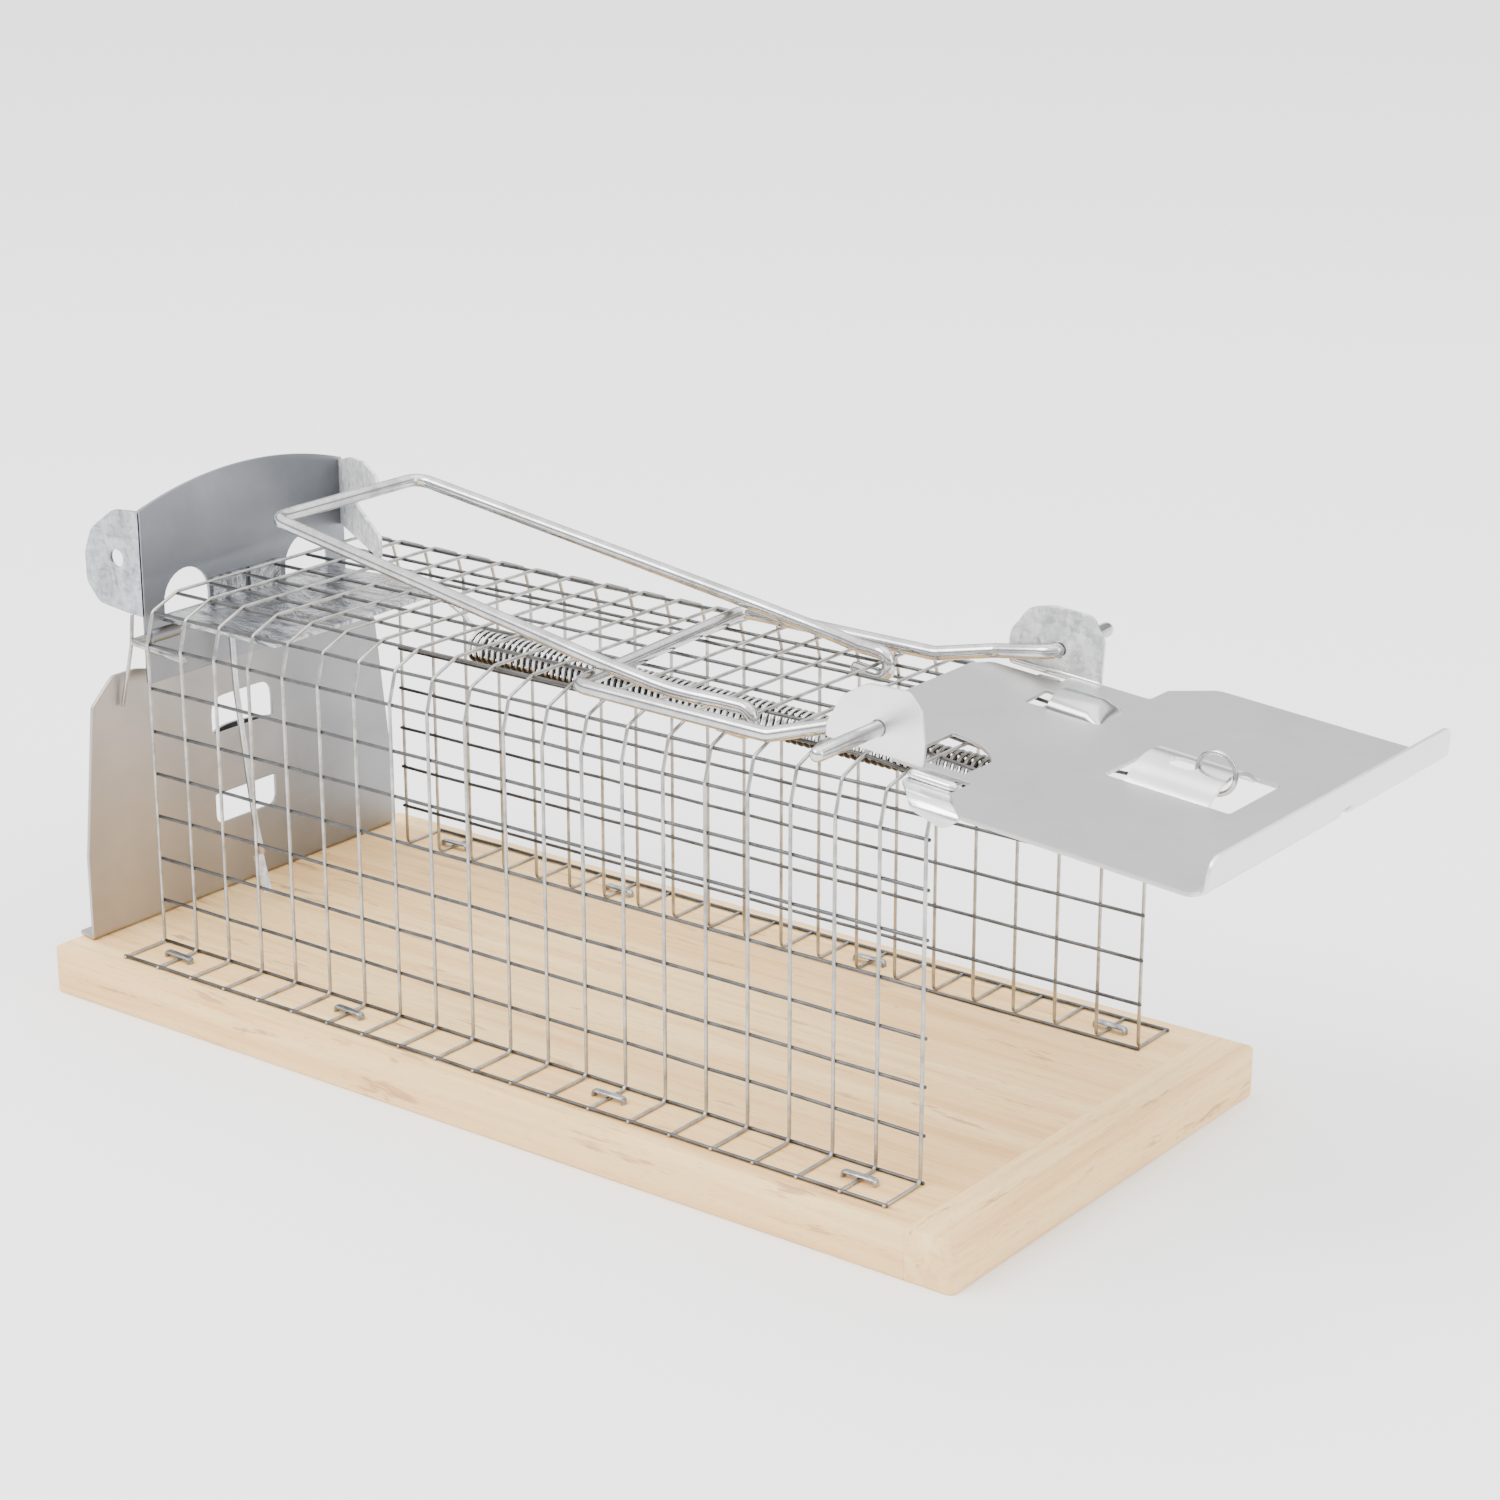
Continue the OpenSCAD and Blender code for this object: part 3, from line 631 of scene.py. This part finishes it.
# ---------------------------------------------------------------- wires
LEG_Y = SIDE_Y - 0.45 - 1.02
PIVOT_BEND = 44.0
wire_piece("pivot_wire", [(-115, -LEG_Y, PIVOT_Z), (TRIGGER_X, -PIVOT_BEND, PIVOT_Z),
                          (TRIGGER_X, PIVOT_BEND, PIVOT_Z), (-115, LEG_Y, PIVOT_Z)],
           1.0, HOOP_WIRE, "cage", "trigger_pivot_wire", 1.6)
wire_piece("tie", [(-140.47, -42.4, 104.3), (-140.47, -43.2, 96.3), (-141.3, -44.2, 89.3), (-142.4, -46, 79)],
           0.55, HOOP_WIRE, "cage", "tie_wire", 6)
wire_piece("bait_wire", [(-134.6, -11.6, 101.2), (-133.5, -11.6, 76.5), (-128.3, -11.6, 36.5),
                         (-126.4, -11.6, 29.5)], 0.9, BAIL_WIRE, "trigger", "bait_rod", 30)

HOOK_R = 3.1
HOOK_X = -MESH_END + 15 * PITCH


def hook(y):
    """The lever's eye around the roof wire it turns on."""
    arc = [(HOOK_X + HOOK_R * math.cos(math.radians(t)), y, ROOF_Z + HOOK_R * math.sin(math.radians(t)))
           for t in range(-90, 91, 15)]
    return [(56.5, y, ROOF_Z - HOOK_R + 0.6)] + arc + [(54, y, ROOF_Z + HOOK_R + 0.3)]


near_arm = fillet([(57, -35.2, 115.6), (44, -37.6, 116.4), (20, -36.6, 119.3)], 60, 10)
far_arm = fillet([(20, 27.2, 119.3), (46, 25.8, 116.1), (57, 22.9, 115.6)], 60, 10)
lever = hook(-35)[:-1] + near_arm + [(-98.2, -28.3, 135.15), (-98.2, 28.3, 135.15)] + far_arm
lever += list(reversed(hook(22.2)[:-1]))
wire_piece("lever_wire", lever, LEVER_R, BAIL_WIRE, "lever", "lever_bail", 5.0, 20)
BAR_Z = 115.0
PIN_X, PIN_Z = 106.4, 119.75
link = [(PIN_X, -63.6, PIN_Z), (PIN_X, -36.2, PIN_Z), (90, -36.2, 116.2), (77, -43, 113.2),
        (19.5, -44.5, BAR_Z), (13, 32, BAR_Z), (74.6, 30.6, BAR_Z), (89, 36.2, 117),
        (PIN_X, 36.2, PIN_Z), (PIN_X, 61.1, PIN_Z)]
wire_piece("link_wire", link, LINK_R, BAIL_WIRE, "link", "link_bail", 4.0, 20)


# ---------------------------------------------------------------- spring
def build_spring():
    """The closing spring as one helix, with the leads that hook it to the roof and to the ring."""
    start, slope = Vector((SPRING_START[0], 0, SPRING_START[1])), SPRING_SLOPE
    axis = Vector((math.cos(slope), 0, -math.sin(slope)))
    up = Vector((math.sin(slope), 0, math.cos(slope)))
    side = Vector((0, 1, 0))
    mid, wire, coils, pitch, per = 4.1, 0.6, 103, 2.05, 18
    points = []
    for k in range(coils * per + 1):
        a = 2 * math.pi * k / per
        points.append(start + axis * (pitch * k / per) + up * (mid * math.cos(a)) + side * (mid * math.sin(a)))
    bm = bmesh.new()
    add_tube(bm, points, wire, 8)
    rear = [points[0], Vector((-56.5, 1.2, 107.2)), Vector((-60, 2.6, 108.6)), Vector((-65.2, 3, 110.6)),
            Vector((-65.0, 3, 113.4)), Vector((-63.3, 3, 113.95)), Vector((-61.8, 3, 112.6))]
    add_tube(bm, fillet(rear, 1.6, 5), wire, 10)
    front = [points[-1], Vector((163, -0.5, 102.8)), Vector((171.9, -1.2, 105.6))]
    add_tube(bm, fillet(front, 3, 5), wire, 10)
    obj = make_object("spring_coils", bm, SPRING_WIRE, angle=70)
    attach(obj, "spring")
    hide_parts("door_spring")
    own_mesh(obj)


build_spring()


def build_ring():
    """The open ring through the half pipe's slot."""
    along, across, height, radius, wire = 46.4, -1.2, 6.5, 5.0, 0.65
    bm = bmesh.new()
    path = []
    for t in range(-84, 216, 12):
        a = math.radians(t)
        path.append(door_point(along + radius * math.cos(a), across, height + radius * math.sin(a)))
    add_tube(bm, path, wire, 12)
    obj = make_object("end_ring", bm, RING_WIRE, angle=60)
    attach(obj, "door")
    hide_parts("spring_ring")


build_ring()


# ---------------------------------------------------------------- door
def build_door():
    """The door's sheet with its window, openings and folded front lip."""
    half = 58.0
    near = [(-40.5, -28.5, 2), (-37, -33.4, 3), (-17, -33.4, 0.5), (-17, -39.5, 0.5), (5, -39.5, 1),
            (5, -48.2, 2), (14, -half, 4), (72.6, -half, 3), (74.2, -55.5, 1), (82.6, -54.5, 6)]
    far = [(82.6, 59.5, 5), (74.2, 59.5, 1), (72.6, half, 1), (14, half, 4), (5, 48.2, 2), (5, 39.5, 1),
           (-17, 39.5, 0.5), (-17, 33.4, 0.5), (-37, 33.4, 3), (-40.5, 28.5, 2)]
    window = round_loop([(23.4, -12), (56.4, -12), (56.4, 12), (23.4, 12)], 0.8)
    dee = [(-16, -36, 0.4), (-16, -15.6, 0.5)]
    dee += [(-16 + 20.3 * math.sin(math.radians(t)), -36 + 20.3 * math.cos(math.radians(t)), 0)
            for t in range(12, 56, 6)]
    dee += [(0.9, -24.5, 0.4), (0.9, -36, 0.6)]
    slit = round_loop([(-15.6, 15.0), (-16.4, 26.0), (-8.8, 26.0), (-8.0, 15.0)], 0.6)
    notch = round_loop([(73.0, 5.2), (76.4, 5.2), (76.4, 10.8), (73.0, 10.8)], 0.8)
    bm = sheet_mesh([round_loop(near + far, 1), window, round_loop(dee, 0.4), slit, notch])
    fold(bm, 0, 73.6, math.radians(90), 1.4)
    place(bm, DOOR_AXES, door_point(0, 0, 2.05))
    obj = make_object("door_leaf", bm, DOOR_SHEET, angle=35, keep_flat=True)
    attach(obj, "door")
    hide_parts("door_plate")


build_door()
build_back_plate()


def flat_piece(name, loops, columns, origin, material, body, node):
    """A flat sheet piece set in place, which stands for a CAD node."""
    bm = sheet_mesh(loops)
    place(bm, columns, origin)
    obj = make_object(name, bm, material, angle=35, keep_flat=True)
    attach(obj, body)
    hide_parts(node)


def build_trigger():
    """The trigger's arched plate, the knuckles it turns on and its two ears."""
    half, apron, top, arch = 39.5, 84.0, 139.4, 130.0
    across = [half * k / 12 for k in range(12, -13, -1)]
    crest = [(y, top - arch + math.sqrt(arch ** 2 - y ** 2), 0) for y in across]
    outline = round_loop([(-half, apron, 1), (half, apron, 1)] + crest, 0)
    holes = []
    hole_y, hole_r, hole_z, hole_low = 23.5, 8.5, 105.5, 102.3
    for sy in (-1, 1):
        y = sy * hole_y
        arc = [(y + hole_r * math.cos(math.radians(t)), hole_z + hole_r * math.sin(math.radians(t)), 0)
               for t in range(0, 181, 12)]
        holes.append(round_loop([(y - hole_r, hole_low, 0.5), (y + hole_r, hole_low, 0.5)] + arc, 0.5))
    cross, up, ahead = Vector((0, 1, 0)), Vector((0, 0, 1)), Vector((1, 0, 0))
    flat_piece("trigger_arch", [outline] + holes, (cross, up, ahead), Vector((TRIGGER_X, 0, 0)), TRIGGER_ZINC,
               "trigger", "trigger_plate")
    bm = bmesh.new()
    knuckle_half = 5
    for y in (-33, 0, 33):
        ends = [(TRIGGER_X, y - knuckle_half, PIVOT_Z), (TRIGGER_X, y + knuckle_half, PIVOT_Z)]
        add_tube(bm, ends, 2.0, 20, cap=0.12)
    barrels = make_object("trigger_barrels", bm, TRIGGER_ZINC, angle=40)
    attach(barrels, "trigger")
    rear = [(-138.6, 133, 1), (-149, 132.2, 6), (-158.5, 125.5, 8), (-161.3, 118.5, 6), (-161.3, 110, 5),
            (-156.5, 104.6, 4), (-146, 103.4, 4), (-138.6, 103, 1)]
    hang = circle_loop(-148.6, 118.45, 2.5)
    flat_piece("hanging_ear", [round_loop(rear, 2), hang], (ahead, up, Vector((0, -1, 0))),
               Vector((0, -half + 0.5, 0)), REAR_EAR_ZINC, "trigger", "rear_ear")
    latch_turn = math.radians(-32.3)
    along = Vector((math.cos(latch_turn), math.sin(latch_turn), 0))
    hook_loop = [(0.4, 132.7, 1), (15.7, 136.9, 12), (30, 138.6, 20), (43.6, 137.6, 2.2), (45.2, 134.6, 1.5),
                 (16.2, 124.2, 1.6), (45.6, 120.7, 1.5), (45.2, 114.2, 2), (0.4, 113.6, 1)]
    flat_piece("latch_ear", [round_loop(hook_loop, 1)], (along, up, along.cross(up)),
               Vector((TRIGGER_X, half - 0.5, 0)), LATCH_ZINC, "trigger", "hook_ear")


def build_ears():
    """The door's two ears, folded up from its edges, with the link's pin holes."""
    low = 2.3
    near = [(-36, low, 1), (-36, 6, 4), (-32.3, 13.6, 6), (-25.5, 18.4, 6), (-14, 19.4, 4), (-10.2, 15.8, 3),
            (-8.4, 8, 4), (-8.2, low, 1)]
    far = [(-36, low, 1), (-36, 10, 6), (-31, 17.4, 6), (-24.1, 19.4, 5), (-12.8, 19.4, 2.5), (-8.8, 13.6, 2),
           (-8.5, low, 1)]
    ear_y, pin_clearance = 39.0, 0.12
    pin = circle_loop(-21.4, 8.5, LINK_R + pin_clearance)
    for sy, outline, name, material in ((-1, near, "near_ear", NEAR_EAR_ZINC), (1, far, "far_ear", EAR_ZINC)):
        bm = sheet_mesh([round_loop(outline, 1), pin])
        axes = (DOOR_AXES[0], DOOR_AXES[2], Vector((0, -1, 0)))
        place(bm, axes, door_point(0, sy * ear_y, 0))
        obj = make_object(name, bm, material, angle=35, keep_flat=True)
        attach(obj, "door")
        if sy < 0:
            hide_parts("door_ears")


def build_door_details():
    """Ribs beside the ears, the half pipe by the far ear and the sheet's rolled near corner."""
    bm = bmesh.new()
    near_rib = (-44.0, -7.5, 2.5, (1.5, 1.1))
    far_rib = (38.47, -34, -9.5, (0.35, 0.9))
    rib_w = 2.35
    for y, start, end, section in (near_rib, far_rib):
        path = [door_point(start, y, rib_w), door_point(end, y, rib_w)]
        add_tube(bm, path, section[0], 16, flat=section, cap=1.6)
    ribs = make_object("door_ribs", bm, BRIGHT_ZINC, angle=60)
    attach(ribs, "door")
    bm = bmesh.new()
    start, run, wide, rise, wall, steps = -9.0, 15.0, 6.4, 4.0, 0.8, 14
    press_y, press_w = 20.6, 2.2
    rings = []
    for x, scale in ((start, 1.0), (start + run * 0.72, 1.0), (start + run * 0.9, 0.6), (start + run, 0.02)):
        for level in (0.0, -wall):
            ring = []
            for k in range(steps + 1):
                a = math.pi * k / steps
                y = press_y + (wide + level) * math.cos(a)
                w = press_w + max(0.0, (rise * scale + level * scale) * math.sin(a))
                ring.append(bm.verts.new(door_point(x, y, w)))
            rings.append(ring)
    for at in range(0, len(rings) - 2, 2):
        for layer in (0, 1):
            one, two = rings[at + layer], rings[at + layer + 2]
            for k in range(steps):
                bm.faces.new((one[k], one[k + 1], two[k + 1], two[k]))
    for outer, inner in ((rings[0], rings[1]), (rings[-2], rings[-1])):
        for k in range(steps):
            bm.faces.new((outer[k], outer[k + 1], inner[k + 1], inner[k]))
    for k in range(0, len(rings) - 2, 2):
        for end in (0, steps):
            bm.faces.new((rings[k][end], rings[k + 2][end], rings[k + 3][end], rings[k + 1][end]))
    press = make_object("door_press", bm, PRESS_ZINC, angle=50)
    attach(press, "door")
    corner = round_loop([(-9, -40.2, 1), (-9, -47, 3), (-1, -55.5, 4), (8, -57.5, 4), (12, -54, 2), (9, -47, 3),
                         (3, -40.2, 1)], 2)
    bm = sheet_mesh([corner], 0.8)
    fold(bm, 1, -50.9, math.radians(-80), 3.2, side=-1, steps=9)
    place(bm, DOOR_AXES, door_point(0, 0, 1.1))
    roll = make_object("door_corner_roll", bm, BRIGHT_ZINC, angle=50, keep_flat=True)
    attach(roll, "door")


build_trigger()
build_ears()
build_door_details()

KEPT = {"plate_screws": STAPLE_STEEL, "trigger_leaf": LEAF_ZINC, "bait_clip": EAR_ZINC,
        "door_knuckles": DOOR_SHEET, "door_bridge": BRIGHT_ZINC}
for name, material in KEPT.items():
    nodes[name].data.materials.clear()
    nodes[name].data.materials.append(material)

# ---------------------------------------------------------------- studio
floor_shader = Shader("floor", (0.93, 0.93, 0.93), 0.85)
floor_mesh = bpy.data.meshes.new("floor")
SPAN = 6.0
floor_mesh.from_pydata([(-SPAN, -SPAN, 0), (SPAN, -SPAN, 0), (SPAN, SPAN, 0), (-SPAN, SPAN, 0)],
                       [], [(0, 1, 2, 3)])
floor = bpy.data.objects.new("floor", floor_mesh)
bpy.context.scene.collection.objects.link(floor)
floor_mesh.materials.append(floor_shader.material)


def area_light(name, place_at, target, size, power):
    """A white rectangular light aimed at a point."""
    light = bpy.data.lights.new(name, "AREA")
    light.shape = "RECTANGLE"
    light.size, light.size_y = size
    light.energy = power
    obj = bpy.data.objects.new(name, light)
    obj.location = place_at
    obj.rotation_euler = (Vector(target) - Vector(place_at)).to_track_quat("-Z", "Y").to_euler()
    bpy.context.scene.collection.objects.link(obj)


area_light("key", (-0.5, -1.1, 1.5), (0, 0, 0.05), (1.2, 0.9), 34)
area_light("top", (0.3, 0.3, 1.8), (0, 0, 0.05), (1.6, 1.6), 16)
area_light("side", (1.4, 0.2, 0.7), (0.05, 0, 0.08), (0.8, 0.8), 8)

world = bpy.data.worlds.new("studio")
bpy.context.scene.world = world
world.use_nodes = True
tree = world.node_tree
background = tree.nodes["Background"]
coords = tree.nodes.new("ShaderNodeTexCoord")
split = tree.nodes.new("ShaderNodeSeparateXYZ")
ramp = tree.nodes.new("ShaderNodeValToRGB")
tree.links.new(coords.outputs["Generated"], split.inputs["Vector"])
shift = tree.nodes.new("ShaderNodeMapRange")
shift.inputs["From Min"].default_value = -1.0
tree.links.new(split.outputs["Z"], shift.inputs["Value"])
tree.links.new(shift.outputs["Result"], ramp.inputs["Fac"])
stops = [(0.0, 0.9), (0.5, 1.0), (0.55, 0.8), (0.62, 0.13), (0.68, 0.22), (0.76, 0.9), (1.0, 1.0)]
while len(ramp.color_ramp.elements) < len(stops):
    ramp.color_ramp.elements.new(0.5)
for element, (at, level) in zip(ramp.color_ramp.elements, stops):
    element.position = at
    element.color = (level, level, level, 1)
tree.links.new(ramp.outputs["Color"], background.inputs["Color"])
background.inputs["Strength"].default_value = 2.9

# ---------------------------------------------------------------- camera
EYE = Vector((0.5219, -0.6383, 0.3581))
LOOK = Vector((-0.57183, 0.75651, -0.31734))
camera_data = bpy.data.cameras.new("camera")
camera_data.sensor_width = 36.0
camera_data.lens = 79.83
camera = bpy.data.objects.new("camera", camera_data)
camera.location = EYE
camera.rotation_euler = LOOK.to_track_quat("-Z", "Y").to_euler()
bpy.context.scene.collection.objects.link(camera)
bpy.context.scene.camera = camera
